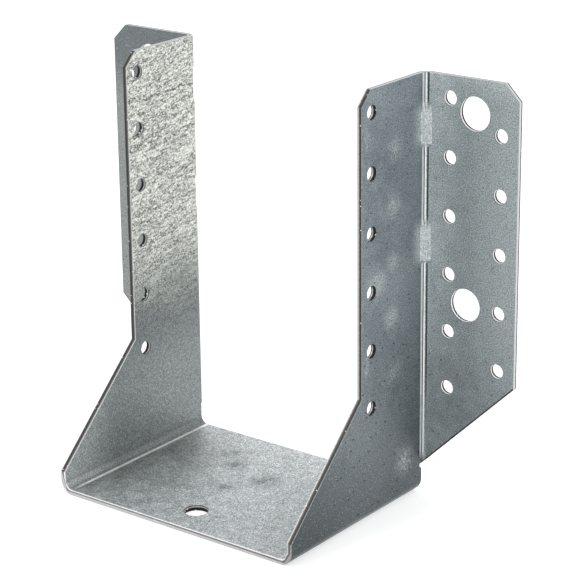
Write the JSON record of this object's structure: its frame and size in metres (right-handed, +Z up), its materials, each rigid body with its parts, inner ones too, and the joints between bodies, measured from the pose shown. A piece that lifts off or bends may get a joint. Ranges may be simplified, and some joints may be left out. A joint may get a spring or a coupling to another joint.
{
  "type": "joist hanger",
  "caption": "Folded galvanised steel joist hanger: a flat seat, two side plates with slanted toes, and two header flanges turned outwards, with nail and bolt holes.",
  "frame": {"origin": "middle of the bounding box's bottom face, on the underside of the seat", "axes": "+X to the right across the joist, along the header; +Y back, into the header; +Z up"},
  "size_m": [0.171, 0.076, 0.148],
  "materials": {
    "galvanised": "hot-dip galvanised sheet, satin, with fine spangle and cloudy patches"
  },
  "bodies": {
    "root": {"hanger": "galvanised"}
  },
  "joints": []
}
